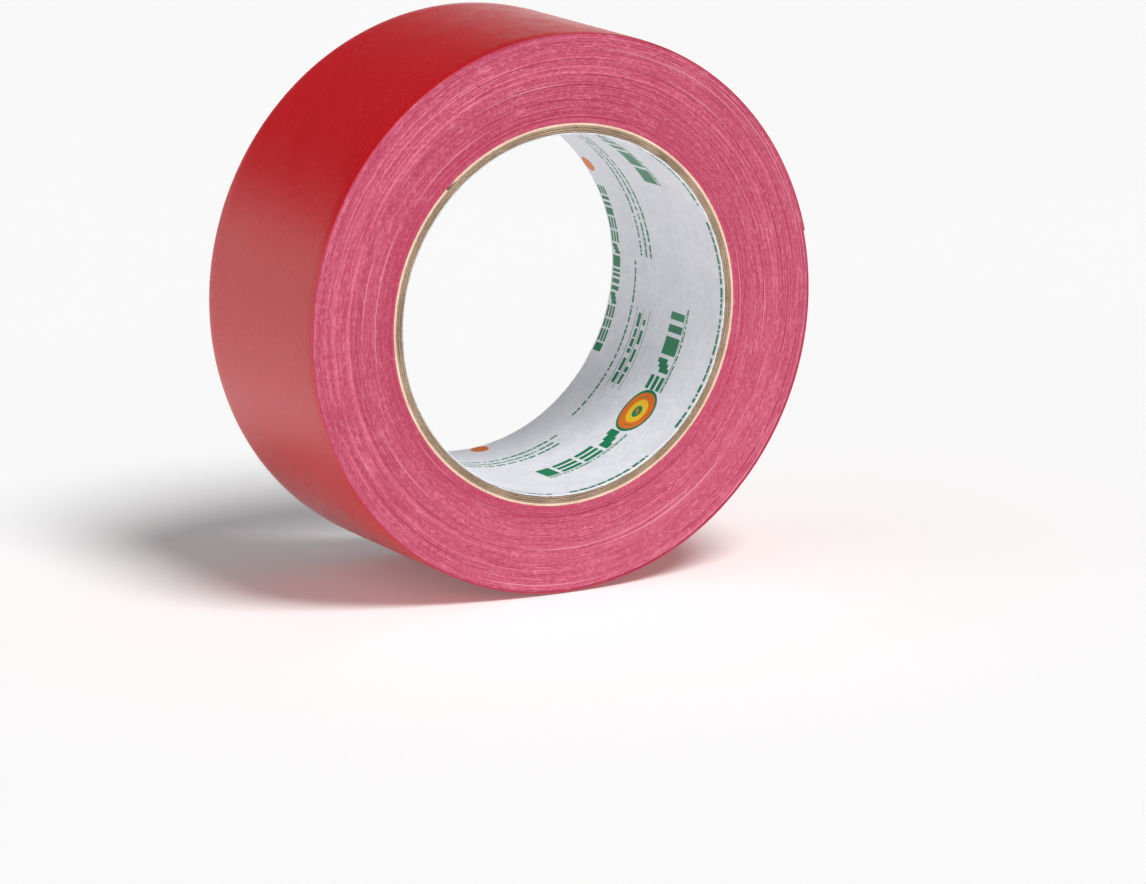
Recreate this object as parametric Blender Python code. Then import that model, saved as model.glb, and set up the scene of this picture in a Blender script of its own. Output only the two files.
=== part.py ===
"""A roll of cloth duct tape on a paper core, standing on its rim. Metres, +Z up.

The roll is modelled about its own axis, as roll coordinates whose Z is that axis, and the roll_axis
empty turns it so that the axis lies along world -Y. The origin is the middle of the roll. An angle
round the roll is measured from world +X towards world +Z.
"""

import math

import bmesh
import bpy
from mathutils import Vector

MM = 0.001

# Driving dimensions, each of which can be changed by itself.
TAPE_WIDTH = 47.75 * MM
ROLL_DIAMETER = 119.0 * MM
CORE_BORE = 76.2 * MM

# The core's plies, from the bore outwards, and the glue between them.
LINER_PLY = 0.35 * MM
BOARD_PLY = 0.42 * MM
OUTER_PLY = 0.55 * MM
GLUE_LINE = 0.05 * MM

# Each ply is a strip wound on a slant, so its butt seam runs round the core as it crosses it.
SEAM_SLANT = math.radians(65.0)
BOARD_SEAM_GAP = 0.5 * MM
OUTER_SEAM_GAP = 2.4 * MM

# One thickness of tape, from the backing film inwards.
FILM = 0.09 * MM
SCRIM = 0.07 * MM
ADHESIVE = 0.08 * MM
LAYER_GAP = 0.02 * MM
TURN_GAP = 0.04 * MM
TURN_PITCH = FILM + SCRIM + ADHESIVE + 2 * LAYER_GAP + TURN_GAP

# Clearance between the core and the tape, and between pieces that meet end to end.
CLEARANCE = 0.3 * MM

# A turn is drawn with flat facets, the same ones on every layer, and one of them is at the bottom.
FACETS = 72
FACET_ANGLE = 2 * math.pi / FACETS
FREE_END_FACETS_ROUND = 2

# The free end peels off in segments, each a whole number of facets long.
LEADER_SEGMENTS = 3
FACETS_PER_SEGMENT = 3

CORE_RADIUS = CORE_BORE / 2 + LINER_PLY + 3 * BOARD_PLY + OUTER_PLY + 4 * GLUE_LINE
ROLL_RADIUS = ROLL_DIAMETER / 2
FREE_END_ANGLE = (FREE_END_FACETS_ROUND + 0.5) * FACET_ANGLE
PEEL_STATION = FACETS - LEADER_SEGMENTS * FACETS_PER_SEGMENT


def clear_scene():
    for obj in list(bpy.data.objects):
        bpy.data.objects.remove(obj, do_unlink=True)


def material(name, colour, roughness, metallic=0.0):
    """A Principled material with a linear colour."""
    made = bpy.data.materials.new(name)
    made.use_nodes = True
    shader = made.node_tree.nodes["Principled BSDF"]
    shader.inputs["Base Color"].default_value = (*colour, 1.0)
    shader.inputs["Roughness"].default_value = roughness
    shader.inputs["Metallic"].default_value = metallic
    made.diffuse_color = (*colour, 1.0)
    return made


def empty(name, parent, location=(0.0, 0.0, 0.0), rotation=(0.0, 0.0, 0.0)):
    made = bpy.data.objects.new(name, None)
    made.empty_display_size = 0.02
    made.location = location
    made.rotation_euler = rotation
    made.parent = parent
    bpy.context.scene.collection.objects.link(made)
    return made


def piece(name, shape, parent, finish):
    """An object from a bmesh, smooth round its curve and sharp at its edges."""
    bmesh.ops.recalc_face_normals(shape, faces=shape.faces)
    mesh = bpy.data.meshes.new(name)
    shape.to_mesh(mesh)
    shape.free()
    mesh.shade_smooth()
    mesh.set_sharp_from_angle(angle=math.radians(30.0))
    mesh.materials.append(finish)
    made = bpy.data.objects.new(name, mesh)
    made.parent = parent
    bpy.context.scene.collection.objects.link(made)
    return made


def around(radius, angle):
    return Vector((radius * math.cos(angle), radius * math.sin(angle), 0.0))


def band(outer, inner, closed=False):
    """A bmesh that is TAPE_WIDTH long, from two lines of points that run side by side round the roll."""
    shape = bmesh.new()
    shift = Vector((0.0, 0.0, -TAPE_WIDTH / 2))
    outside = [shape.verts.new(point + shift) for point in outer]
    inside = [shape.verts.new(point + shift) for point in inner]
    if closed:
        outside.append(outside[0])
        inside.append(inside[0])
    for k in range(len(outside) - 1):
        shape.faces.new((outside[k], outside[k + 1], inside[k + 1], inside[k]))
    extrude_across(shape)
    return shape


def extrude_across(shape):
    """Extrudes the bmesh's flat faces over the tape's width."""
    swept = bmesh.ops.extrude_face_region(shape, geom=shape.faces[:])
    moved = [item for item in swept["geom"] if isinstance(item, bmesh.types.BMVert)]
    bmesh.ops.translate(shape, verts=moved, vec=(0.0, 0.0, TAPE_WIDTH))


def facet_corners(radius):
    return [around(radius, FREE_END_ANGLE + k * FACET_ANGLE) for k in range(FACETS)]


def turn_point(station, depth):
    """A point of the last turn, at a depth under its film's face.

    Stations count facets along the tape, from 0, a whole turn before the free end, to FACETS at the
    free end itself. The tape is wound clockwise, and each turn lies one pitch further out.
    """
    first = min(int(station), FACETS - 1)
    corners = []
    for k in (first, first + 1):
        radius = ROLL_RADIUS - TURN_PITCH * (1 - k / FACETS)
        corners.append(around(radius - depth, FREE_END_ANGLE + (FACETS - k) * FACET_ANGLE))
    return corners[0].lerp(corners[1], station - first)


def tape_layer(start, end, top, thickness):
    """One layer of the last turn, between two stations, at a depth of top under the film's face."""
    stations = [start, *range(int(start) + 1, math.ceil(end)), end]
    outer = [turn_point(station, top) for station in stations]
    inner = [turn_point(station, top + thickness) for station in stations]
    return band(outer, inner)


def seam_blade(name, parent, radius, ply, gap, angle):
    """The cutter of a butt seam: a strip as wide as the gap that winds round as it crosses the core.

    angle is where the seam meets the front end of the core.
    """
    margin = 1.0 * MM
    steps = 36
    travel = TAPE_WIDTH + 2 * margin
    turn_per_length = math.tan(SEAM_SLANT) / radius
    half_angle = gap / 2 / math.cos(SEAM_SLANT) / radius
    start = angle - turn_per_length * (TAPE_WIDTH + margin)
    shape = bmesh.new()
    corners = [
        around(radius - margin, start - half_angle),
        around(radius + ply + margin, start - half_angle),
        around(radius + ply + margin, start + half_angle),
        around(radius - margin, start + half_angle),
    ]
    shift = Vector((0.0, 0.0, -travel / 2))
    shape.faces.new([shape.verts.new(corner + shift) for corner in corners])
    bmesh.ops.spin(
        shape,
        geom=shape.faces[:],
        cent=(0.0, 0.0, 0.0),
        axis=(0.0, 0.0, 1.0),
        dvec=(0.0, 0.0, travel / steps),
        angle=turn_per_length * travel,
        steps=steps,
    )
    blade = piece(name, shape, parent, material(name, (0.8, 0.8, 0.8), 0.5))
    blade.hide_render = True
    blade.display_type = "WIRE"
    return blade


def core_ply(name, parent, radius, ply, gap, angle, finish):
    """A ply of the core, split by its slanting butt seam."""
    shape = band(facet_corners(radius + ply), facet_corners(radius), closed=True)
    made = piece(name, shape, parent, finish)
    seam = made.modifiers.new("butt_seam", "BOOLEAN")
    seam.operation = "DIFFERENCE"
    seam.solver = "EXACT"
    seam.object = seam_blade(name + "_seam_cutter", parent, radius, ply, gap, angle)
    return made


def make_core(parent):
    """Five plies, whose seams are spread round the core. The outer one's gap shows at the front."""
    white = material("coated_white_paper", (0.80, 0.82, 0.83), 0.45)
    kraft = material("kraft_board", (0.32, 0.23, 0.16), 0.85)
    cream = material("cream_paper", (0.78, 0.66, 0.55), 0.75)
    plies = (
        ("core_liner", LINER_PLY, BOARD_SEAM_GAP, -20.0, white),
        ("core_board_inner", BOARD_PLY, BOARD_SEAM_GAP, 52.0, kraft),
        ("core_board_middle", BOARD_PLY, BOARD_SEAM_GAP, 200.0, kraft),
        ("core_board_outer", BOARD_PLY, BOARD_SEAM_GAP, 272.0, kraft),
        ("core_outer_ply", OUTER_PLY, OUTER_SEAM_GAP, 132.0, cream),
    )
    radius = CORE_BORE / 2
    for name, ply, gap, degrees, finish in plies:
        core_ply(name, parent, radius, ply, gap, math.radians(degrees), finish)
        radius += ply + GLUE_LINE


def make_wound_tape(parent):
    """All the turns under the last one, with the step where the last one begins."""
    shape = bmesh.new()
    shift = Vector((0.0, 0.0, -TAPE_WIDTH / 2))
    inner_radius = CORE_RADIUS + CLEARANCE
    outside = [
        shape.verts.new(turn_point(k, TURN_PITCH) + shift) for k in range(FACETS + 1)
    ]
    inside = [
        shape.verts.new(around(inner_radius, FREE_END_ANGLE + (FACETS - k) * FACET_ANGLE) + shift)
        for k in range(FACETS)
    ]
    inside.append(inside[0])
    for k in range(FACETS - 1):
        shape.faces.new((outside[k], outside[k + 1], inside[k + 1], inside[k]))
    shape.faces.new((outside[-2], outside[-1], outside[0], inside[0], inside[-2]))
    extrude_across(shape)
    pink = material("wound_tape_edges", (0.62, 0.08, 0.14), 0.6)
    piece("wound_tape", shape, parent, pink)


def layers():
    """The three layers of the tape, as name, depth of the layer's top, thickness and finish."""
    return (
        ("film", 0.0, FILM, material("red_polyethylene_film", (0.55, 0.01, 0.02), 0.3)),
        ("scrim", FILM + LAYER_GAP, SCRIM, material("scrim_cloth", (0.80, 0.45, 0.48), 0.9)),
        (
            "adhesive",
            FILM + SCRIM + 2 * LAYER_GAP,
            ADHESIVE,
            material("rubber_adhesive", (0.75, 0.62, 0.55), 0.5),
        ),
    )


def make_last_turn(parent):
    """The last turn from the step where it begins to the line where the free end peels."""
    facet_length = 2 * ROLL_RADIUS * math.sin(FACET_ANGLE / 2)
    half_gap = CLEARANCE / 2 / facet_length
    tape = layers()
    for layer, top, thickness, finish in tape:
        shape = tape_layer(2 * half_gap, PEEL_STATION - half_gap, top, thickness)
        piece("last_turn_" + layer, shape, parent, finish)
    hinge = parent
    hinge_at = Vector((0.0, 0.0, 0.0))
    for number in range(1, LEADER_SEGMENTS + 1):
        start = PEEL_STATION + (number - 1) * FACETS_PER_SEGMENT
        end = start + FACETS_PER_SEGMENT
        bend_at = turn_point(start, 0.0)
        hinge = empty(f"peel_hinge_{number}", hinge, location=bend_at - hinge_at)
        hinge_at = bend_at
        far_end = end if number == LEADER_SEGMENTS else end - half_gap
        for layer, top, thickness, finish in tape:
            shape = tape_layer(start + half_gap, far_end, top, thickness)
            bmesh.ops.translate(shape, verts=shape.verts, vec=-bend_at)
            piece(f"free_end_{number}_{layer}", shape, hinge, finish)


clear_scene()
roll_axis = empty("roll_axis", None, rotation=(math.pi / 2, 0.0, 0.0))
make_core(roll_axis)
make_wound_tape(roll_axis)
make_last_turn(roll_axis)
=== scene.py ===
"""A roll of red cloth duct tape standing on its rim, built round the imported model's frame.

Metres, +Z up. The roll's axis is world Y and its front end faces -Y. An angle round the roll is
measured from world +X towards world +Z. A place on the tape is given by its turns from the free
end, its depth under the film's face and its distance across the width from the middle.
"""

import math
import random

import bmesh
import bpy
import numpy as np
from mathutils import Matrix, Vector


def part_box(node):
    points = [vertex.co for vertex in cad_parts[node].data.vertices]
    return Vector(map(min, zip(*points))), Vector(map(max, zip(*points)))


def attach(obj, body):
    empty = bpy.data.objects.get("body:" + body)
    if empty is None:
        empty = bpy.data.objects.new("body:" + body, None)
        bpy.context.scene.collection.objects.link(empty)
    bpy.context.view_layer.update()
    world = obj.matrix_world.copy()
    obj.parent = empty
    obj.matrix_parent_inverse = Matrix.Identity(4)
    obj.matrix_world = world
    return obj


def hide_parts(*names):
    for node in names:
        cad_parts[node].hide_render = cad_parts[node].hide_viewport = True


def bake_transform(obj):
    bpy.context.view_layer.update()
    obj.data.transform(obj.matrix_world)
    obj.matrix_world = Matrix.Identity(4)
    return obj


MM = 0.001

# The winding: one turn of tape is the film, the cloth, the adhesive and what lies between them.
PITCH = 0.32 * MM
FILM = 0.09 * MM
SCRIM_TOP = 0.11 * MM
SCRIM = 0.07 * MM
ADHESIVE_TOP = 0.20 * MM
ADHESIVE = 0.08 * MM
FREE_END_ANGLE = math.radians(12.5)
STATIONS = 72

# Lengths along the tape are counted on a circle near the outside of the roll, in millimetres.
LENGTH_RADIUS_MM = 59.0
# How much the turns wave in and out.
SLACK_HEIGHT = 0.006 * MM

# A station is five degrees of the last turn, counted along the tape towards the free end. The
# free end peels at stations 63, 66 and 69. Each bend reaches a little to both sides of its hinge,
# and the tape is cut between the bends. The first is short, because tape lifts off at a sharp line.
CUTS = (62.0, 64.5, 67.5, 72.0)
STATION_STEP = 0.3
# The first and last steps of a length, so that it meets the next one with the same slope.
END_STEP = 0.04

# The tape's edges hang a little over the turns below them.
DROOP = 0.12 * MM
DROOP_REACH = 2.6 * MM

# The cloth's threads show through the film: the warp runs along the tape and the weft across it.
WARP_SPACING = 0.955 * MM
WEFT_SPACING = 2.6 * MM
RIB_HEIGHT = 0.011 * MM

# Turns that stand out from the ends of the roll: turns from the free end, half width and height.
RIDGES = (
    (25.6, 1.7, 3.2),
    (15.8, 1.3, 2.2),
    (12.6, 0.9, -1.2),
    (9.4, 1.1, 1.8),
    (6.0, 0.8, -1.4),
    (3.0, 0.9, 1.6),
    (40.0, 0.7, 1.2),
)
RIDGE_ANGLE = math.radians(190.0)
PROUD_HEIGHT = 0.045 * MM
TURN_COLUMNS = 144
# Down one turn's edge: the depth, and how far the edge lies behind the cloth, in millimetres.
EDGE_SECTION = ((0.0, 0.10), (0.03, 0.03), (0.13, 0.0), (0.24, 0.035))
EDGE_BACK = 0.10 * MM
# Only what lies this close to the ends of the roll stands out with its turn.
EDGE_ZONE = 0.2 * MM

# The core's plies: their thicknesses, how finely a ring is cut, and how far in from its ends its
# rows of points lie.
LINER_PLY = 0.35 * MM
BOARD_PLY = 0.42 * MM
OUTER_PLY = 0.55 * MM
CORE_COLUMNS = 540
CORE_BEVEL = 0.05 * MM
CORE_CORNER = 0.25 * MM
CORE_END_BAND = 1.3 * MM
CORE_WORN_REACH = 0.6 * MM
SEAM_SLANT = math.radians(65.0)
SEAM_DEPTH = 0.15 * MM

# The liner's print comes round three times. Angles are in degrees from the start of a repeat, and
# depths from the front end and heights are in millimetres.
PRINT_REPEATS = 3
INK = 0.010 * MM
INK_THICKNESS = 0.008 * MM
RULE_HEIGHT = 0.16 * MM
BOLD_ROWS = ((-84, -53), (-36, -8))
BADGE_DEGREES = -44.5
# Each ring of the badge: its radius and its finish, which is 0 for green, 1 orange and 2 yellow.
BADGE_RINGS = ((5.6, 0), (5.0, 1), (3.1, 2), (1.5, 0))
# Start, end, depth and height.
SMALL_LINES = (
    (-45, 25, 1.0, 0.9),
    (32, 63, 1.0, 0.9),
    (-38, -14, 31.0, 1.3),
    (-38, -14, 33.4, 1.3),
    (-54, 3, 37.4, 0.7),
    (5, 55, 30.4, 0.8),
    (5, 55, 32.4, 0.8),
    (5, 55, 34.6, 0.8),
)
# Start, end and depth.
RULES = ((-40, -12, 29.5), (-40, -12, 32.2), (-40, -12, 34.9))

CAMERA_AZIMUTH = math.radians(-29.29)
CAMERA_ELEVATION = math.radians(12.67)
CAMERA_DISTANCE = 1.2763
CAMERA_AIM = Vector((8.1, -12.3, -30.1)) * MM
CAMERA_LENS = 189.7


def linear(hex_colour):
    """An sRGB hex colour as linear red, green, blue and alpha."""
    parts = [int(hex_colour[k : k + 2], 16) / 255 for k in (1, 3, 5)]
    turned = [c / 12.92 if c <= 0.04045 else ((c + 0.055) / 1.055) ** 2.4 for c in parts]
    return (*turned, 1.0)


def add(tree, kind, sockets=None, **settings):
    """Adds a node. sockets gives inputs by name or number, each a value or an output to link.

    A colour Mix has its share at 0 and its colours at 6 and 7. A Map Range has its value at 0, what
    it maps from at 1 and 2, and what it maps to at 3 and 4.
    """
    made = tree.nodes.new("ShaderNode" + kind)
    for name, value in settings.items():
        setattr(made, name, value)
    for socket, value in (sockets or {}).items():
        if isinstance(value, bpy.types.NodeSocket):
            tree.links.new(value, made.inputs[socket])
        else:
            made.inputs[socket].default_value = value
    return made


def new_material(name, **plain):
    """A material with its node tree and Principled shader. plain sets the shader's own sockets."""
    made = bpy.data.materials.new(name)
    made.use_nodes = True
    shader = made.node_tree.nodes["Principled BSDF"]
    for socket, value in plain.items():
        shader.inputs[socket.replace("_", " ")].default_value = value
    return made, made.node_tree, shader


# ---------------------------------------------------------------- materials


def red_film():
    """Satin polyethylene film, coextruded and calendered onto the cloth.

    A deep even red. The threads press through as fine ribs along the tape and short dashes across
    it, which break up the edge of every reflection. Handling leaves faint dull patches.
    """
    made, tree, shader = new_material("satin_red_polyethylene_film", IOR=1.5)
    chart = add(tree, "UVMap", uv_map="tape").outputs[0]
    split = add(tree, "SeparateXYZ", {0: chart})
    place = add(tree, "TexCoord").outputs["Object"]
    patches = add(tree, "TexNoise", {"Vector": place, "Scale": 55.0, "Detail": 4.0})
    # The chart is in millimetres, so a scale here counts repeats in a millimetre.
    fibres = add(tree, "TexNoise", {"Vector": chart, "Scale": 2.2, "Detail": 3.0, "Roughness": 0.6})
    warp_phase = add(
        tree,
        "Math",
        {0: split.outputs["Y"], 1: 2 * math.pi / (WARP_SPACING / MM)},
        operation="MULTIPLY",
    )
    warp = add(tree, "Math", {0: warp_phase.outputs[0]}, operation="COSINE")
    weft_place = add(
        tree, "VectorMath", {0: chart, 1: (MM / WEFT_SPACING * 2.0, 1.1, 1.0)}, operation="MULTIPLY"
    )
    weft = add(tree, "TexNoise", {"Vector": weft_place.outputs[0], "Scale": 1.0, "Detail": 1.0})
    dashes = add(
        tree, "MapRange", {"Value": weft.outputs[0], "From Min": 0.55, "From Max": 0.72}
    )
    hollow = add(tree, "MapRange", {0: warp.outputs[0], 1: -1.0, 2: 1.0, 3: 0.0, 4: 1.0})
    deep = linear("#BE020F")
    plain = linear("#CE0516")
    bright = linear("#DC2430")
    body = add(
        tree,
        "Mix",
        {0: patches.outputs[0], 6: deep, 7: plain},
        data_type="RGBA",
    )
    thread_share = add(
        tree, "Math", {0: hollow.outputs[0], 1: fibres.outputs[0]}, operation="MULTIPLY"
    )
    ribbed = add(
        tree,
        "Mix",
        {0: thread_share.outputs[0], 6: body.outputs[2], 7: plain},
        data_type="RGBA",
    )
    dash_share = add(tree, "Math", {0: dashes.outputs[0], 1: 0.42}, operation="MULTIPLY")
    coloured = add(
        tree,
        "Mix",
        {0: dash_share.outputs[0], 6: ribbed.outputs[2], 7: bright},
        data_type="RGBA",
    )
    tree.links.new(coloured.outputs[2], shader.inputs["Base Color"])
    dull = add(
        tree,
        "MapRange",
        {"Value": patches.outputs[0], "From Min": 0.3, "From Max": 0.7, "To Min": 0.17, "To Max": 0.25},
    )
    worn = add(
        tree, "Math", {0: fibres.outputs[0], 1: 0.06, 2: dull.outputs[0]}, operation="MULTIPLY_ADD"
    )
    tree.links.new(worn.outputs[0], shader.inputs["Roughness"])
    relief = add(
        tree, "Math", {0: warp.outputs[0], 1: 0.55, 2: dashes.outputs[0]}, operation="MULTIPLY_ADD"
    )
    grain = add(
        tree, "Math", {0: fibres.outputs[0], 1: 0.5, 2: relief.outputs[0]}, operation="MULTIPLY_ADD"
    )
    bump = add(
        tree, "Bump", {"Height": grain.outputs[0], "Strength": 0.9, "Distance": 0.022 * MM}
    )
    tree.links.new(bump.outputs[0], shader.inputs["Normal"])
    return made


def slit_edges():
    """The slit side of the wound tape: film, cloth and adhesive edges, turn upon turn.

    Each turn is a red line, a pale line of cut threads and a pink line of adhesive, and together
    they look pink. Turns that stand out are painted lighter, as a painted highlight, and sunk turns
    are painted darker, as painted shade. Cut threads give short streaks that follow the turns, a few
    turns show as long pale arcs, and the turns next to the core are redder.
    """
    made, tree, shader = new_material("slit_edges_of_wound_tape", IOR=1.48)
    chart = add(tree, "UVMap", uv_map="tape").outputs[0]
    split = add(tree, "SeparateXYZ", {0: chart})
    turns, depth = split.outputs["X"], split.outputs["Y"]
    stands = add(tree, "Attribute", attribute_name="proud").outputs["Fac"]
    place = add(tree, "TexCoord").outputs["Object"]
    in_plane = add(tree, "VectorMath", {0: place, 1: (1.0, 0.0, 1.0)}, operation="MULTIPLY")
    heading = add(tree, "VectorMath", {0: in_plane.outputs[0]}, operation="NORMALIZE")
    length = add(tree, "VectorMath", {0: in_plane.outputs[0]}, operation="LENGTH")
    radius = length.outputs["Value"]

    # Variation along the tape itself, in repeats to a turn: arcs, short dashes and single threads.
    along_tape = []
    for repeats in (2.7, 61.0, 330.0):
        counted = add(tree, "Math", {0: turns, 1: repeats}, operation="MULTIPLY")
        noise = add(
            tree,
            "TexNoise",
            {"W": counted.outputs[0], "Scale": 1.0, "Detail": 2.0, "Roughness": 0.65},
            noise_dimensions="1D",
        )
        along_tape.append(noise.outputs[0])
    arcs, dashes, threads = along_tape

    # Streaks over several turns: repeats to a metre of radius, then repeats to a radian.
    streaks = []
    for across_turns, around in ((1900.0, 46.0), (1250.0, 5.0)):
        out = add(tree, "Math", {0: radius, 1: across_turns}, operation="MULTIPLY")
        turned = add(
            tree, "VectorMath", {0: heading.outputs[0], "Scale": around}, operation="SCALE"
        )
        parts = add(tree, "SeparateXYZ", {0: turned.outputs[0]})
        polar = add(
            tree, "CombineXYZ", {0: out.outputs[0], 1: parts.outputs["X"], 2: parts.outputs["Z"]}
        )
        noise = add(
            tree,
            "TexNoise",
            {"Vector": polar.outputs[0], "Scale": 1.0, "Detail": 3.0, "Roughness": 0.6},
        )
        streaks.append(noise.outputs[0])
    short_streaks, long_streaks = streaks
    mottle = add(
        tree, "TexNoise", {"Vector": place, "Scale": 1500.0, "Detail": 2.0, "Roughness": 0.6}
    ).outputs[0]
    clouds = add(tree, "TexNoise", {"Vector": place, "Scale": 90.0, "Detail": 2.0}).outputs[0]

    # Each layer of colour: what sets its share, from no share to full, how much at full, the colour.
    coats = (
        (depth, 0.18, 0.34, 1.0, "#CD4F73"),
        (threads, 0.35, 0.65, 0.55, "#DA768F"),
        # Painted shade on turns that sink and painted highlight on turns that stand out, by how far the
        # turn's edge stands out.
        (stands, 0.4, -2.2, 0.75, "#A2264C"),
        (stands, 0.6, 3.4, 0.80, "#E8758F"),
        (long_streaks, 0.50, 0.30, 0.55, "#B23055"),
        (long_streaks, 0.52, 0.72, 0.50, "#E07A92"),
        (short_streaks, 0.48, 0.30, 0.60, "#AA2B50"),
        (short_streaks, 0.54, 0.74, 0.60, "#E88DA3"),
        (dashes, 0.56, 0.78, 0.50, "#EA97AA"),
        (mottle, 0.50, 0.30, 0.35, "#B03559"),
        (clouds, 0.45, 0.70, 0.22, "#BB3A61"),
        (radius, 46.5 * MM, 41.0 * MM, 0.40, "#B42A50"),
        (arcs, 0.66, 0.75, 0.55, "#EBA5B4"),
    )
    colour = linear("#B8254A")
    for measure, none, full, most, coat in coats:
        share = add(
            tree,
            "MapRange",
            {0: measure, 1: none, 2: full, 3: 0.0, 4: most},
            interpolation_type="SMOOTHSTEP",
        )
        colour = add(
            tree, "Mix", {0: share.outputs[0], 6: colour, 7: linear(coat)}, data_type="RGBA"
        ).outputs[2]
    tree.links.new(colour, shader.inputs["Base Color"])
    rough = add(tree, "MapRange", {0: short_streaks, 1: 0.3, 2: 0.7, 3: 0.46, 4: 0.70})
    tree.links.new(rough.outputs[0], shader.inputs["Roughness"])
    height = add(
        tree, "Math", {0: short_streaks, 1: 1.6, 2: mottle}, operation="MULTIPLY_ADD"
    )
    bump = add(
        tree, "Bump", {"Height": height.outputs[0], "Strength": 0.6, "Distance": 0.07 * MM}
    )
    tree.links.new(bump.outputs[0], shader.inputs["Normal"])
    return made


def woven_layer(name, thread, gap, roughness):
    """Open cloth, or the adhesive that takes the cloth's print, with threads both ways.

    A soft pale grid: lighter where a thread lies, darker and slightly sunk in the gaps. A rough
    layer reads as dry cotton, and a smoother one as tacky rubber.
    """
    made, tree, shader = new_material(name, IOR=1.5)
    chart = add(tree, "UVMap", uv_map="tape").outputs[0]
    split = add(tree, "SeparateXYZ", {0: chart})
    waves = []
    for axis, spacing in (("Y", WARP_SPACING), ("X", WEFT_SPACING)):
        phase = add(
            tree,
            "Math",
            {0: split.outputs[axis], 1: 2 * math.pi / (spacing / MM)},
            operation="MULTIPLY",
        )
        wave = add(tree, "Math", {0: phase.outputs[0]}, operation="COSINE")
        waves.append(add(tree, "MapRange", {0: wave.outputs[0], 1: 0.1, 2: 0.9}).outputs[0])
    weave = add(tree, "Math", {0: waves[0], 1: waves[1]}, operation="MAXIMUM")
    fibres = add(tree, "TexNoise", {"Vector": chart, "Scale": 3.0, "Detail": 4.0})
    share = add(
        tree, "Math", {0: weave.outputs[0], 1: fibres.outputs[0]}, operation="MULTIPLY"
    )
    colour = add(
        tree, "Mix", {0: share.outputs[0], 6: linear(gap), 7: linear(thread)}, data_type="RGBA"
    )
    # The slit edges of the layer take the same pink as the turns under it.
    from_middle = add(tree, "Math", {0: split.outputs["Y"]}, operation="ABSOLUTE")
    slit = add(tree, "MapRange", {0: from_middle.outputs[0], 1: 23.2, 2: 23.6, 3: 0.0, 4: 1.0})
    finished = add(
        tree,
        "Mix",
        {0: slit.outputs[0], 6: colour.outputs[2], 7: linear("#C74466")},
        data_type="RGBA",
    )
    tree.links.new(finished.outputs[2], shader.inputs["Base Color"])
    rough = add(
        tree, "MapRange", {0: fibres.outputs[0], 1: 0.3, 2: 0.7, 3: roughness - 0.08, 4: roughness + 0.08}
    )
    tree.links.new(rough.outputs[0], shader.inputs["Roughness"])
    bump = add(tree, "Bump", {"Height": share.outputs[0], "Strength": 0.7, "Distance": 0.05 * MM})
    tree.links.new(bump.outputs[0], shader.inputs["Normal"])
    return made


def paper(name, light, dark, fibre_mm, roughness, contrast, relief):
    """Paper or board: matted fibres of fibre_mm, which the colour, the gloss and the relief follow.

    contrast is how gradually light turns to dark, and relief is the height of the fibres in
    millimetres.
    """
    made, tree, shader = new_material(name, IOR=1.5)
    place = add(tree, "TexCoord").outputs["Object"]
    fibres = add(
        tree,
        "TexNoise",
        {"Vector": place, "Scale": 1 / (fibre_mm * MM), "Detail": 5.0, "Roughness": 0.7},
    )
    clouds = add(tree, "TexNoise", {"Vector": place, "Scale": 120.0, "Detail": 3.0})
    blend = add(
        tree, "Math", {0: clouds.outputs[0], 1: 0.6, 2: fibres.outputs[0]}, operation="MULTIPLY_ADD"
    )
    share = add(
        tree,
        "MapRange",
        {0: blend.outputs[0], 1: 0.8 - contrast / 2, 2: 0.8 + contrast / 2},
        interpolation_type="SMOOTHSTEP",
    )
    colour = add(
        tree, "Mix", {0: share.outputs[0], 6: linear(dark), 7: linear(light)}, data_type="RGBA"
    )
    tree.links.new(colour.outputs[2], shader.inputs["Base Color"])
    rough = add(
        tree, "MapRange", {0: fibres.outputs[0], 1: 0.3, 2: 0.7, 3: roughness - 0.06, 4: roughness + 0.06}
    )
    tree.links.new(rough.outputs[0], shader.inputs["Roughness"])
    bump = add(
        tree, "Bump", {"Height": fibres.outputs[0], "Strength": 0.6, "Distance": relief * MM}
    )
    tree.links.new(bump.outputs[0], shader.inputs["Normal"])
    return made


# ---------------------------------------------------------------- shapes


def shell(name, columns, rows, place, chart, finishes, finish_of_row=None, proud=None):
    """A closed piece from a grid: rows run round its cross-section and columns run along it.

    place(column, row) gives the grid points' places, chart(column, row) their UVs, and
    proud(column, row) how far a turn's edge stands out, as arrays.
    """
    shape = bmesh.new()
    bmesh.ops.create_grid(shape, x_segments=columns, y_segments=rows, size=1.0)
    mesh = bpy.data.meshes.new(name)
    shape.to_mesh(mesh)
    shape.free()
    flat = np.empty(len(mesh.vertices) * 3, np.float32)
    mesh.vertices.foreach_get("co", flat)
    flat = flat.reshape(-1, 3)
    column = np.rint((flat[:, 0] + 1) / 2 * columns).astype(int)
    row = np.rint((flat[:, 1] + 1) / 2 * rows).astype(int)
    mesh.vertices.foreach_set("co", place(column, row).astype(np.float32).ravel())
    corners = np.empty(len(mesh.loops), np.int32)
    mesh.loops.foreach_get("vertex_index", corners)
    layer = mesh.uv_layers.new(name="tape")
    layer.uv.foreach_set("vector", chart(column, row)[corners].astype(np.float32).ravel())
    if proud is not None:
        mesh.attributes.new("proud", "FLOAT", "POINT")
        mesh.attributes["proud"].data.foreach_set("value", proud(column, row).astype(np.float32))
    if finish_of_row is not None:
        face_row = row[corners].reshape(-1, 4).min(axis=1)
        mesh.polygons.foreach_set("material_index", finish_of_row[face_row].astype(np.int32))
    shape = bmesh.new()
    shape.from_mesh(mesh)
    bmesh.ops.remove_doubles(shape, verts=shape.verts, dist=2e-7)
    open_edges = [edge for edge in shape.edges if edge.is_boundary]
    if open_edges:
        bmesh.ops.holes_fill(shape, edges=open_edges, sides=0)
    bmesh.ops.recalc_face_normals(shape, faces=shape.faces)
    shape.to_mesh(mesh)
    shape.free()
    return shown(name, mesh, finishes)


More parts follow.
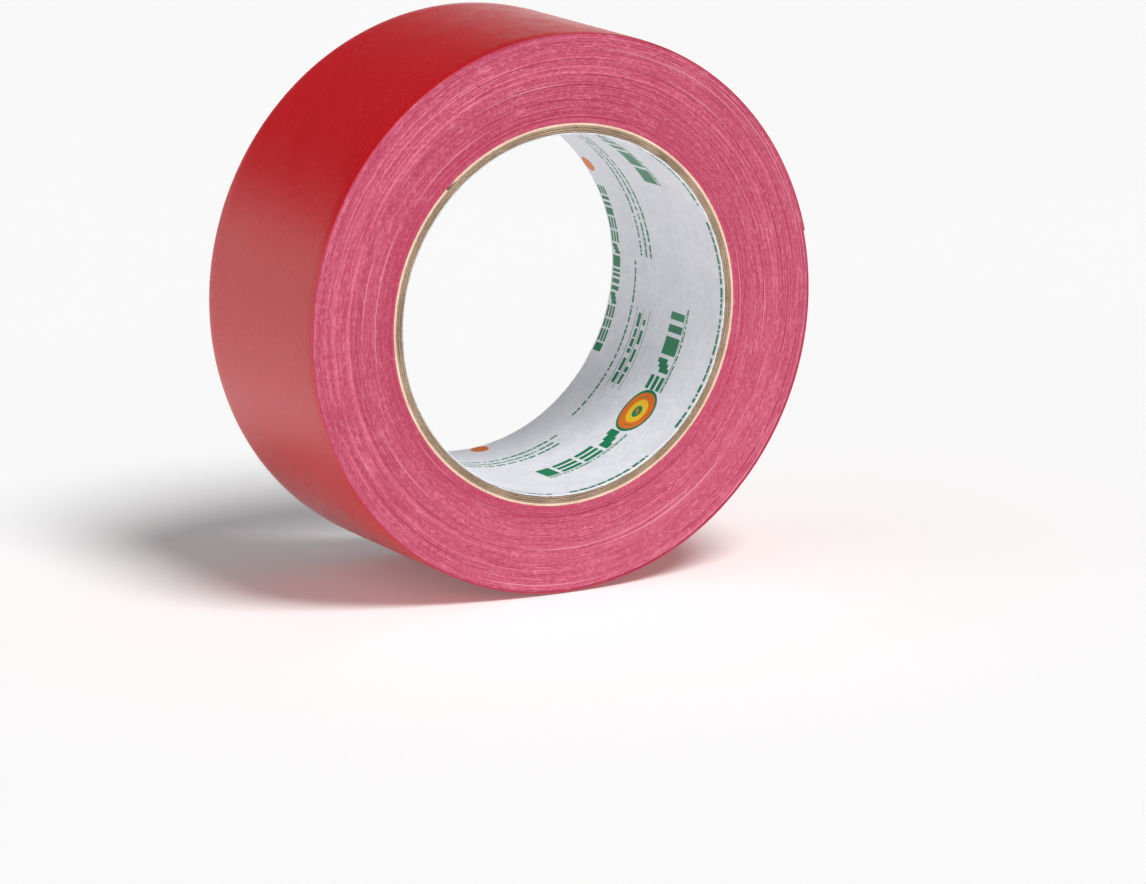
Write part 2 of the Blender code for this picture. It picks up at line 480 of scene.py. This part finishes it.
def shown(name, mesh, finishes, sharp_degrees=35.0):
    """An object for a finished mesh, smooth round its curves and sharp at its edges."""
    mesh.shade_smooth()
    mesh.set_sharp_from_angle(angle=math.radians(sharp_degrees))
    for finish in finishes:
        mesh.materials.append(finish)
    made = bpy.data.objects.new(name, mesh)
    bpy.context.scene.collection.objects.link(made)
    return made


def ripple(count, seed, lowest, highest):
    """A smooth random function of one or two lengths: a sum of seeded waves, with a spread of 1."""
    source = random.Random(seed)
    waves = []
    for _ in range(count):
        size = source.uniform(lowest, highest)
        heading = source.uniform(0.0, 2 * math.pi)
        waves.append((size * math.cos(heading), size * math.sin(heading), source.uniform(0.0, 6.28)))

    def at(first, second=0.0):
        total = 0.0
        for a, b, phase in waves:
            total = total + np.sin(2 * np.pi * (a * first + b * second) + phase)
        return total / math.sqrt(count / 2)

    return at


def length_mm(turns):
    """The length of tape that a number of turns takes, in millimetres."""
    return turns * 2 * np.pi * LENGTH_RADIUS_MM


def points_at(radius, angle, across):
    """Points from their radius, their angle round the roll and their place across its width."""
    return np.stack(
        [radius * np.cos(angle), across * np.ones_like(angle), radius * np.sin(angle)], axis=-1
    )


def droop(radius, across):
    """How far the edge of a turn hangs: nothing at the core, and most on the last turn."""
    reach = np.clip((np.abs(across) - (HALF_WIDTH - DROOP_REACH)) / DROOP_REACH, 0.0, 1.0)
    return DROOP * reach**2 * np.clip((radius - CORE_RADIUS) / (ROLL_RADIUS - CORE_RADIUS), 0.0, 1.0)


def on_tape(turns, depth, across):
    """Places on the tape, with every turn one pitch nearer the core than the one before it."""
    angle = FREE_END_ANGLE + 2 * np.pi * turns
    radius = ROLL_RADIUS - PITCH * turns - depth
    wave = SLACK_HEIGHT * SLACK(length_mm(turns), across / MM)
    return points_at(radius + wave - droop(radius, across), angle, across)


def fine_across(count):
    """Places across the width, evenly spaced in the middle and closer at the edges."""
    edge = HALF_WIDTH - DROOP_REACH
    close = [HALF_WIDTH, HALF_WIDTH - 0.35 * MM, HALF_WIDTH - 0.9 * MM, HALF_WIDTH - 1.7 * MM]
    middle = np.linspace(-edge, edge, count)
    return np.concatenate([[-x for x in close], middle, close[::-1]])


def cut_end(layer, across):
    """How far a layer reaches past the cut: the film's edge wanders, and cut threads stick out."""
    if layer == "scrim":
        thread = np.clip(np.cos(2 * np.pi * across / WARP_SPACING), 0.0, 1.0) ** 4
        return (0.02 + 0.5 * thread * np.clip(0.6 + 0.4 * CUT_THREADS(across / MM), 0.0, 1.2)) * MM
    return 0.05 * MM * CUT_EDGE(across / MM)


def tape_length(name, layer, first, last, top, thickness, across, under, finishes, ribs, inset):
    """A length of one layer of the tape, between two stations of the last turn.

    top is the depth of its upper face, across and under are the places across its upper and lower
    faces, ribs is the height of the threads in its upper face, and inset narrows it.
    """
    count = max(int((last - first) / STATION_STEP), 6)
    stations = np.linspace(first, last, count + 1)
    stations = np.concatenate([[first, first + END_STEP], stations[1:-1], [last - END_STEP, last]])
    turns = (STATIONS - stations) / STATIONS
    across_all = np.concatenate([across, under[::-1], across[:1]])
    across_all = across_all * (1 - inset / HALF_WIDTH)
    depth = np.concatenate(
        [np.full(len(across), top), np.full(len(under), top + thickness), [top]]
    )
    ribbed = np.concatenate([np.ones(len(across)), np.zeros(len(under)), [1.0]])

    def place(column, row):
        t, a = turns[column], across_all[row]
        if last == STATIONS:
            past = np.where(column == len(turns) - 1, cut_end(layer, a), 0.0)
            t = t - past / (2 * np.pi * ROLL_RADIUS)
        pressed = np.clip(0.8 + 0.3 * WARP_PRESS(length_mm(t), a / MM), 0.2, 1.4)
        fade = np.clip((HALF_WIDTH - np.abs(a)) / (1.2 * MM), 0.0, 1.0)
        rib = ribs * ribbed[row] * fade * pressed * np.cos(2 * np.pi * a / WARP_SPACING)
        return on_tape(t, depth[row] - rib, a)

    def chart(column, row):
        return np.stack([length_mm(turns[column]), across_all[row] / MM], axis=-1)

    return shell(name, len(stations) - 1, len(across_all) - 1, place, chart, finishes)


def wound_web(finishes):
    """Every turn under the last one, as the spiral steps of its slit edges at both ends.

    A row is a turn, a depth in it, a place across, a finish, a measure for the chart and whether it
    lies on the core.
    """
    turn_count = int((ROLL_RADIUS - CORE_RADIUS - PITCH) / PITCH) - 1
    end_rows = [
        (turn, depth * MM, back * MM)
        for turn in range(1, turn_count + 1)
        for depth, back in EDGE_SECTION
    ]
    end_rows.append((turn_count, PITCH, EDGE_BACK))
    outer_across = [HALF_WIDTH - inset * MM for inset in (0.10, 0.5, 1.2, 2.6)]
    rows = []
    for turn, depth, back in end_rows:
        rows.append((turn, depth, -(HALF_WIDTH - back), 0, depth / PITCH, 0.0))
    rows.append((turn_count, 0.0, -(HALF_WIDTH - EDGE_BACK), 0, 1.0, 1.0))
    rows.append((turn_count, 0.0, HALF_WIDTH - EDGE_BACK, 0, 1.0, 1.0))
    for turn, depth, back in reversed(end_rows):
        rows.append((turn, depth, HALF_WIDTH - back, 0, depth / PITCH, 0.0))
    for across in outer_across + [-x for x in reversed(outer_across)]:
        rows.append((1, 0.0, across, 1, across / MM, 0.0))
    rows.append(rows[0])
    turn_of, depth_of, across_of, finish_of, chart_of, at_core = np.array(rows).T

    def proud(column, row):
        turns = turn_of[row] + column / TURN_COLUMNS
        drift = np.where(across_of[row] < 0, FRONT_DRIFT(turns), BACK_DRIFT(turns))
        angle = 2 * np.pi * turns + FREE_END_ANGLE
        wander = 0.3 * np.sin(angle) + 0.2 * np.sin(2 * angle + 1.0)
        fade = 0.7 + 0.3 * np.cos(angle - RIDGE_ANGLE)
        ridges = sum(
            height * np.exp(-(((turns + wander - at) / width) ** 2)) for at, width, height in RIDGES
        )
        return 0.8 * drift + ridges * fade

    def place(column, row):
        turns = turn_of[row] + column / TURN_COLUMNS
        across = across_of[row]
        edge = (np.abs(across) > HALF_WIDTH - EDGE_ZONE) & (at_core[row] == 0)
        stands = PROUD_HEIGHT * proud(column, row) * edge
        found = on_tape(turns, depth_of[row], across + np.sign(across) * stands)
        core = points_at(
            CORE_RADIUS + 0.01 * MM, FREE_END_ANGLE + 2 * np.pi * turns, across
        )
        return np.where((at_core[row] > 0)[:, None], core, found)

    def chart(column, row):
        turns = turn_of[row] + column / TURN_COLUMNS
        along = np.where(finish_of[row] > 0, length_mm(turns), turns)
        return np.stack([along, chart_of[row]], axis=-1)

    return shell(
        "wound_tape", TURN_COLUMNS, len(rows) - 1, place, chart, finishes, finish_of, proud
    )


def core_ring(name, outer, thickness, front_angle, gap, rough, seed, finishes):
    """One ply of the core: a ring with rough cut ends and its slanting seam open at each end.

    The seam meets the front end at front_angle and is gap wide. rough is how far the cut wanders,
    in millimetres.
    """
    inner = outer - thickness
    fray = ripple(14, seed, 0.15, 0.9)
    fine = ripple(10, seed + 1, 0.8, 2.2)
    shares = (0.0, 0.25, 0.5, 0.75, 1.0)
    backs = (CORE_BEVEL, 0.0, 0.0, 0.0, CORE_BEVEL)
    section = [(inner, CORE_END_BAND), (inner, CORE_CORNER)]
    section += [(inner + share * thickness, back) for share, back in zip(shares, backs)]
    section += [(outer, CORE_CORNER), (outer, CORE_END_BAND)]
    rows = [(radius, -(HALF_WIDTH - back), 1.0) for radius, back in section]
    rows += [(radius, HALF_WIDTH - back, -1.0) for radius, back in reversed(section)]
    rows.append(rows[0])
    radius_of, across_of, end_of = np.array(rows).T
    length_turned = 2 * HALF_WIDTH * math.tan(SEAM_SLANT) / inner
    seam_angles = (front_angle, front_angle - length_turned)

    def place(column, row):
        angle = 2 * np.pi * column / CORE_COLUMNS
        across, radius = across_of[row], radius_of[row]
        near_end = np.abs(across) > HALF_WIDTH - CORE_WORN_REACH
        arc = angle * radius / MM
        worn = rough * MM * (0.6 * fray(arc, radius / MM * 3) + 0.4 * fine(arc, radius / MM * 5))
        worn = np.abs(worn)
        for side, seam in zip((1.0, -1.0), seam_angles):
            off = (angle - seam + np.pi) % (2 * np.pi) - np.pi
            share = 0.5 + side * off * inner / gap
            open_here = (share > 0) & (share < 1) & (end_of[row] == side)
            cut = np.where(open_here, share * gap / math.tan(SEAM_SLANT) + SEAM_DEPTH, 0.0)
            worn = np.maximum(worn, cut)
        moved = across + np.where(across < 0, 1.0, -1.0) * worn * near_end
        shrink = 0.5 * worn * near_end * np.where(worn > 0.2 * MM, 0.0, 1.0)
        centre = (inner + outer) / 2
        radius = radius - np.sign(radius - centre) * np.minimum(shrink, thickness / 6)
        return points_at(radius, angle, moved)

    def chart(column, row):
        angle = 2 * np.pi * column / CORE_COLUMNS
        return np.stack([angle * inner / MM, across_of[row] / MM], axis=-1)

    return shell(name, CORE_COLUMNS, len(rows) - 1, place, chart, finishes)


# ---------------------------------------------------------------- the liner's print


def wrap_print(shape):
    """Lays flat marks, whose x runs round the bore and y into it, on the liner's inner face."""
    for vert in shape.verts:
        radius = BORE_RADIUS - vert.co.z
        turned = vert.co.x / BORE_RADIUS
        into = -HALF_WIDTH + vert.co.y
        vert.co = (radius * math.cos(turned), into, radius * math.sin(turned))


def bar(shape, centre, size):
    """A flat bar of green ink, cut finely enough round the bore to lie on it."""
    steps = max(int(size[0] / (1.2 * MM)), 1)
    made = bmesh.ops.create_grid(shape, x_segments=steps, y_segments=1, size=0.5)
    verts = made["verts"]
    bmesh.ops.scale(shape, verts=verts, vec=(size[0], size[1], 1.0))
    bmesh.ops.translate(shape, verts=verts, vec=(*centre, INK))


def disc(shape, centre, radius, finish, lift):
    """A flat disc of ink, as rings of faces so that it can follow the bore."""
    made = bmesh.ops.create_circle(shape, cap_ends=True, radius=radius, segments=40)
    verts = made["verts"]
    face = verts[0].link_faces[0]
    face.material_index = finish
    bmesh.ops.translate(shape, verts=verts, vec=(*centre, INK + lift))
    for _ in range(3):
        bmesh.ops.inset_individual(shape, faces=[face], thickness=radius * 0.24, depth=0.0)


def small_line(shape, source, start, end, depth, height):
    """A line of small print as unreadable dashes, from one angle to another."""
    here = start * BORE_RADIUS
    while here < end * BORE_RADIUS - height:
        length = source.uniform(0.5, 2.6) * height
        bar(shape, (here + length / 2, depth), (length, height * source.uniform(0.75, 1.0)))
        here += length + height * source.choice((0.3, 0.3, 0.35, 0.9))


def heavy_row(shape, source, start, end, depth, height):
    """A row of bold blocks, twin posts and stacked bars, as a border that spells nothing."""
    here = start * BORE_RADIUS
    stop = end * BORE_RADIUS
    kinds = ("block", "stack", "posts", "block", "stepped")
    while here < stop - 0.4 * height:
        width = min(source.uniform(0.55, 0.95) * height, stop - here)
        middle = here + width / 2
        kind = source.choice(kinds)
        if kind == "block":
            bar(shape, (middle, depth), (width, height))
        elif kind == "stack":
            for share in (-0.38, 0.0, 0.38):
                bar(shape, (middle, depth + share * height), (width, 0.24 * height))
        elif kind == "posts":
            for share in (0.2, 0.8):
                bar(shape, (here + share * width, depth), (0.36 * width, height))
        else:
            for step in range(3):
                rise = (step - 1) * height / 6
                bar(shape, (here + (step + 0.5) * width / 3, depth + rise), (width / 3, height * 2 / 3))
        here += width + 0.16 * height


def rule(shape, start, end, depth):
    """A thin line round the bore, from one angle to another."""
    middle = (start + end) / 2 * BORE_RADIUS
    bar(shape, (middle, depth), ((end - start) * BORE_RADIUS, RULE_HEIGHT))


def liner_print(finishes):
    """Green, orange and yellow ink on the liner: plain blocks, dashes and a ringed dot."""
    source = random.Random(31)
    shape = bmesh.new()
    for repeat in range(PRINT_REPEATS):
        turned = math.radians(repeat * 360 / PRINT_REPEATS)
        for start, end in BOLD_ROWS:
            first, last = turned + math.radians(start), turned + math.radians(end)
            heavy_row(shape, source, first, last, 18 * MM, 5.6 * MM)
            small_line(shape, source, first, last, 14.1 * MM, 0.55 * MM)
            rule(shape, first, last, 14.7 * MM)
        badge = ((turned + math.radians(BADGE_DEGREES)) * BORE_RADIUS, 17.6 * MM)
        for layer, (radius, finish) in enumerate(BADGE_RINGS):
            disc(shape, badge, radius * MM, finish, 0.004 * MM * layer)
        for start, end, depth, height in SMALL_LINES:
            first, last = turned + math.radians(start), turned + math.radians(end)
            small_line(shape, source, first, last, depth * MM, height * MM)
        for start, end, depth in RULES:
            rule(shape, turned + math.radians(start), turned + math.radians(end), depth * MM)
        first, last = turned + math.radians(-30), turned + math.radians(27)
        heavy_row(shape, source, first, last, 45.6 * MM, 3.0 * MM)
        dot = ((turned + math.radians(36)) * BORE_RADIUS, 45.4 * MM)
        disc(shape, dot, 2.0 * MM, 1, 0.0)
    bmesh.ops.solidify(shape, geom=shape.faces[:], thickness=INK_THICKNESS)
    wrap_print(shape)
    bmesh.ops.recalc_face_normals(shape, faces=shape.faces)
    mesh = bpy.data.meshes.new("liner_print")
    shape.to_mesh(mesh)
    shape.free()
    return shown("liner_print", mesh, finishes)


# ---------------------------------------------------------------- the scene


def outer_radius(node):
    """A ply's outer radius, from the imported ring, whose corners are half a facet off each axis."""
    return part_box(node)[1].x / math.cos(math.pi / STATIONS)


def floor_and_backdrop():
    """A matt white floor that reaches to the horizon and glows a little, as a light table does."""
    shape = bmesh.new()
    bmesh.ops.create_grid(shape, x_segments=8, y_segments=8, size=30.0)
    bmesh.ops.translate(shape, verts=shape.verts, vec=(0.0, 0.0, -ROLL_RADIUS))
    mesh = bpy.data.meshes.new("studio_floor")
    shape.to_mesh(mesh)
    shape.free()
    made, tree, shader = new_material(
        "pale_matt_floor", Roughness=0.85, Emission_Strength=0.10, Emission_Color=(1, 1, 1, 1)
    )
    place = add(tree, "TexCoord").outputs["Object"]
    clouds = add(tree, "TexNoise", {"Vector": place, "Scale": 3.0, "Detail": 2.0})
    colour = add(
        tree,
        "Mix",
        {0: clouds.outputs[0], 6: linear("#FAFAFA"), 7: linear("#FCFCFC")},
        data_type="RGBA",
    )
    tree.links.new(colour.outputs[2], shader.inputs["Base Color"])
    floor = shown("studio_floor", mesh, [made])


def studio_sky():
    """A pale sweep low down behind the floor, and a dim room above it."""
    world = bpy.data.worlds.new("studio")
    world.use_nodes = True
    bpy.context.scene.world = world
    tree = world.node_tree
    heading = add(tree, "TexCoord").outputs["Generated"]
    height = add(tree, "SeparateXYZ", {0: heading}).outputs["Z"]
    share = add(
        tree, "MapRange", {0: height, 1: 0.08, 2: 0.28, 3: 0.0, 4: 1.0}, interpolation_type="SMOOTHSTEP"
    )
    colour = add(
        tree,
        "Mix",
        {0: share.outputs[0], 6: (0.955, 0.955, 0.955, 1.0), 7: (0.10, 0.10, 0.10, 1.0)},
        data_type="RGBA",
    )
    tree.links.new(colour.outputs[2], tree.nodes["Background"].inputs["Color"])
    tree.nodes["Background"].inputs["Strength"].default_value = 1.0


def heading_back(azimuth, elevation):
    """The direction of something seen from the roll: azimuth from the front, elevation up."""
    level = math.cos(elevation)
    return Vector(
        (math.sin(azimuth) * level, -math.cos(azimuth) * level, math.sin(elevation))
    )


def soft_light(name, azimuth, elevation, width, strength):
    """A wide far light that reaches the whole floor evenly. Its angles are in degrees."""
    back = heading_back(math.radians(azimuth), math.radians(elevation))
    lamp = bpy.data.lights.new(name, "SUN")
    lamp.angle = math.radians(width)
    lamp.energy = strength
    made = bpy.data.objects.new(name, lamp)
    made.location = back
    made.rotation_euler = (-back).to_track_quat("-Z", "Y").to_euler()
    bpy.context.scene.collection.objects.link(made)


def camera():
    """The view from the front left and a little above, with a long lens."""
    data = bpy.data.cameras.new("camera")
    data.lens = CAMERA_LENS
    data.sensor_width = 36.0
    data.clip_start, data.clip_end = 0.01, 100.0
    made = bpy.data.objects.new("camera", data)
    back = heading_back(CAMERA_AZIMUTH, CAMERA_ELEVATION)
    made.location = CAMERA_AIM + back * CAMERA_DISTANCE
    made.rotation_euler = (-back).to_track_quat("-Z", "Y").to_euler()
    bpy.context.scene.collection.objects.link(made)
    bpy.context.scene.camera = made


def put_on(piece, body, slot, *nodes):
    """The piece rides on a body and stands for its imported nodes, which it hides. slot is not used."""
    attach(piece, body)
    if nodes:
        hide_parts(*nodes)


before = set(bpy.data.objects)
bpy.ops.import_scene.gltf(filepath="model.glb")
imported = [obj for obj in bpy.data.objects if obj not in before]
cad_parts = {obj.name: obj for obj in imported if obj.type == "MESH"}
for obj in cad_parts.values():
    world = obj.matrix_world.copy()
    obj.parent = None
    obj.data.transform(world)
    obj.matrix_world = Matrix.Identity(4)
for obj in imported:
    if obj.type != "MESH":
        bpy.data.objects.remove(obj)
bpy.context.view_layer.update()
HALF_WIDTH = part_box("wound_tape")[1].y
CORE_RADIUS = outer_radius("core_outer_ply")
ROLL_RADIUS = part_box("free_end_3_film")[1].x / math.cos(FREE_END_ANGLE)
BORE_RADIUS = outer_radius("core_liner") - LINER_PLY

# Seeded waves: how the turns wave, how hard the threads press through, the cut, and how far the
# turns drift towards each end.
SLACK = ripple(12, 5, 0.02, 0.09)
WARP_PRESS = ripple(12, 8, 0.05, 0.3)
CUT_EDGE = ripple(10, 21, 0.05, 0.8)
CUT_THREADS = ripple(12, 22, 0.3, 1.6)
FRONT_DRIFT = ripple(16, 13, 0.2, 4.0)
BACK_DRIFT = ripple(16, 14, 0.2, 4.0)

camera()
floor_and_backdrop()
studio_sky()
soft_light("overhead_key", 14.0, 57.0, 24.0, 2.6)
soft_light("front_fill", -20.0, 25.0, 70.0, 0.2)
soft_light("left_fill", -95.0, 30.0, 70.0, 0.34)

# Coarse brown fibres show at the cut edge of the board. The papers are pale, the coated one has a
# soft sheen, and the inks are flat colours with the sheen of the coating under them.
film = red_film()
edges = slit_edges()
cloth = woven_layer("open_woven_cotton_cloth", "#F2C4CB", "#D98594", 0.85)
glue = woven_layer("natural_rubber_adhesive_on_cloth", "#EFE3D6", "#D9B9AC", 0.45)
board = paper("chipboard_from_kraft_fibre", "#BCA38A", "#937C65", 0.35, 0.9, 0.35, 0.05)
cream = paper("unbleached_cream_paper", "#F3DCC6", "#DDB79C", 0.3, 0.8, 0.4, 0.02)
white = paper("clay_coated_white_paper", "#F1F2F6", "#E2E3EA", 1.5, 0.42, 0.5, 0.004)
green_ink = paper("green_printing_ink", "#0A8A58", "#04704A", 0.5, 0.4, 0.5, 0.001)
orange_ink = paper("orange_printing_ink", "#EE7A22", "#DD6414", 0.5, 0.4, 0.5, 0.001)
yellow_ink = paper("yellow_printing_ink", "#F7CB2E", "#E9B71C", 0.5, 0.4, 0.5, 0.001)

put_on(wound_web([edges, film]), "roll", "wound_tape_edges", "wound_tape")

rib_across = fine_across(181)
plain_across = fine_across(12)
layers = (
    ("film", 0.0, FILM, film, "red_film", RIB_HEIGHT, 0.0),
    ("scrim", SCRIM_TOP, SCRIM, cloth, "scrim_cloth", 0.0, 0.01 * MM),
    ("adhesive", ADHESIVE_TOP, ADHESIVE, glue, "rubber_adhesive", 0.0, 0.03 * MM),
)
for layer, top, thickness, finish, slot, ribs, inset in layers:
    across = rib_across if layer == "film" else plain_across
    name = "last_turn_" + layer
    shape = (top, thickness, across, plain_across, [finish], ribs, inset)
    put_on(tape_length(name, layer, 0.0, CUTS[0], *shape), "roll", slot, name)
    for number in (1, 2, 3):
        name = f"free_end_{number}_{layer}"
        if layer == "scrim" and number == 3:
            shape = (top, thickness, rib_across, plain_across, [finish], ribs, inset)
        piece = tape_length(name, layer, CUTS[number - 1], CUTS[number], *shape)
        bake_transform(piece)
        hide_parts(name)

# Name, thickness, angle of the seam in degrees, its gap and the cut's roughness in millimetres,
# finish and slot.
plies = (
    ("core_liner", LINER_PLY, -20.0, 0.5, 0.10, white, "liner_paper"),
    ("core_board_inner", BOARD_PLY, 52.0, 0.5, 0.10, board, "kraft_board"),
    ("core_board_middle", BOARD_PLY, 200.0, 0.5, 0.08, board, "kraft_board"),
    ("core_board_outer", BOARD_PLY, 272.0, 0.5, 0.08, board, "kraft_board"),
    ("core_outer_ply", OUTER_PLY, 132.0, 2.4, 0.04, cream, "core_outer_paper"),
)
for seed, (name, thickness, degrees, gap, rough, finish, slot) in enumerate(plies):
    ring = core_ring(
        name,
        outer_radius(name),
        thickness,
        math.radians(degrees),
        gap * MM,
        rough,
        40 + 2 * seed,
        [finish],
    )
    put_on(ring, "roll", slot, name)
put_on(liner_print([green_ink, orange_ink, yellow_ink]), "roll", "liner_paper")

bpy.context.scene.view_settings.view_transform = "Standard"
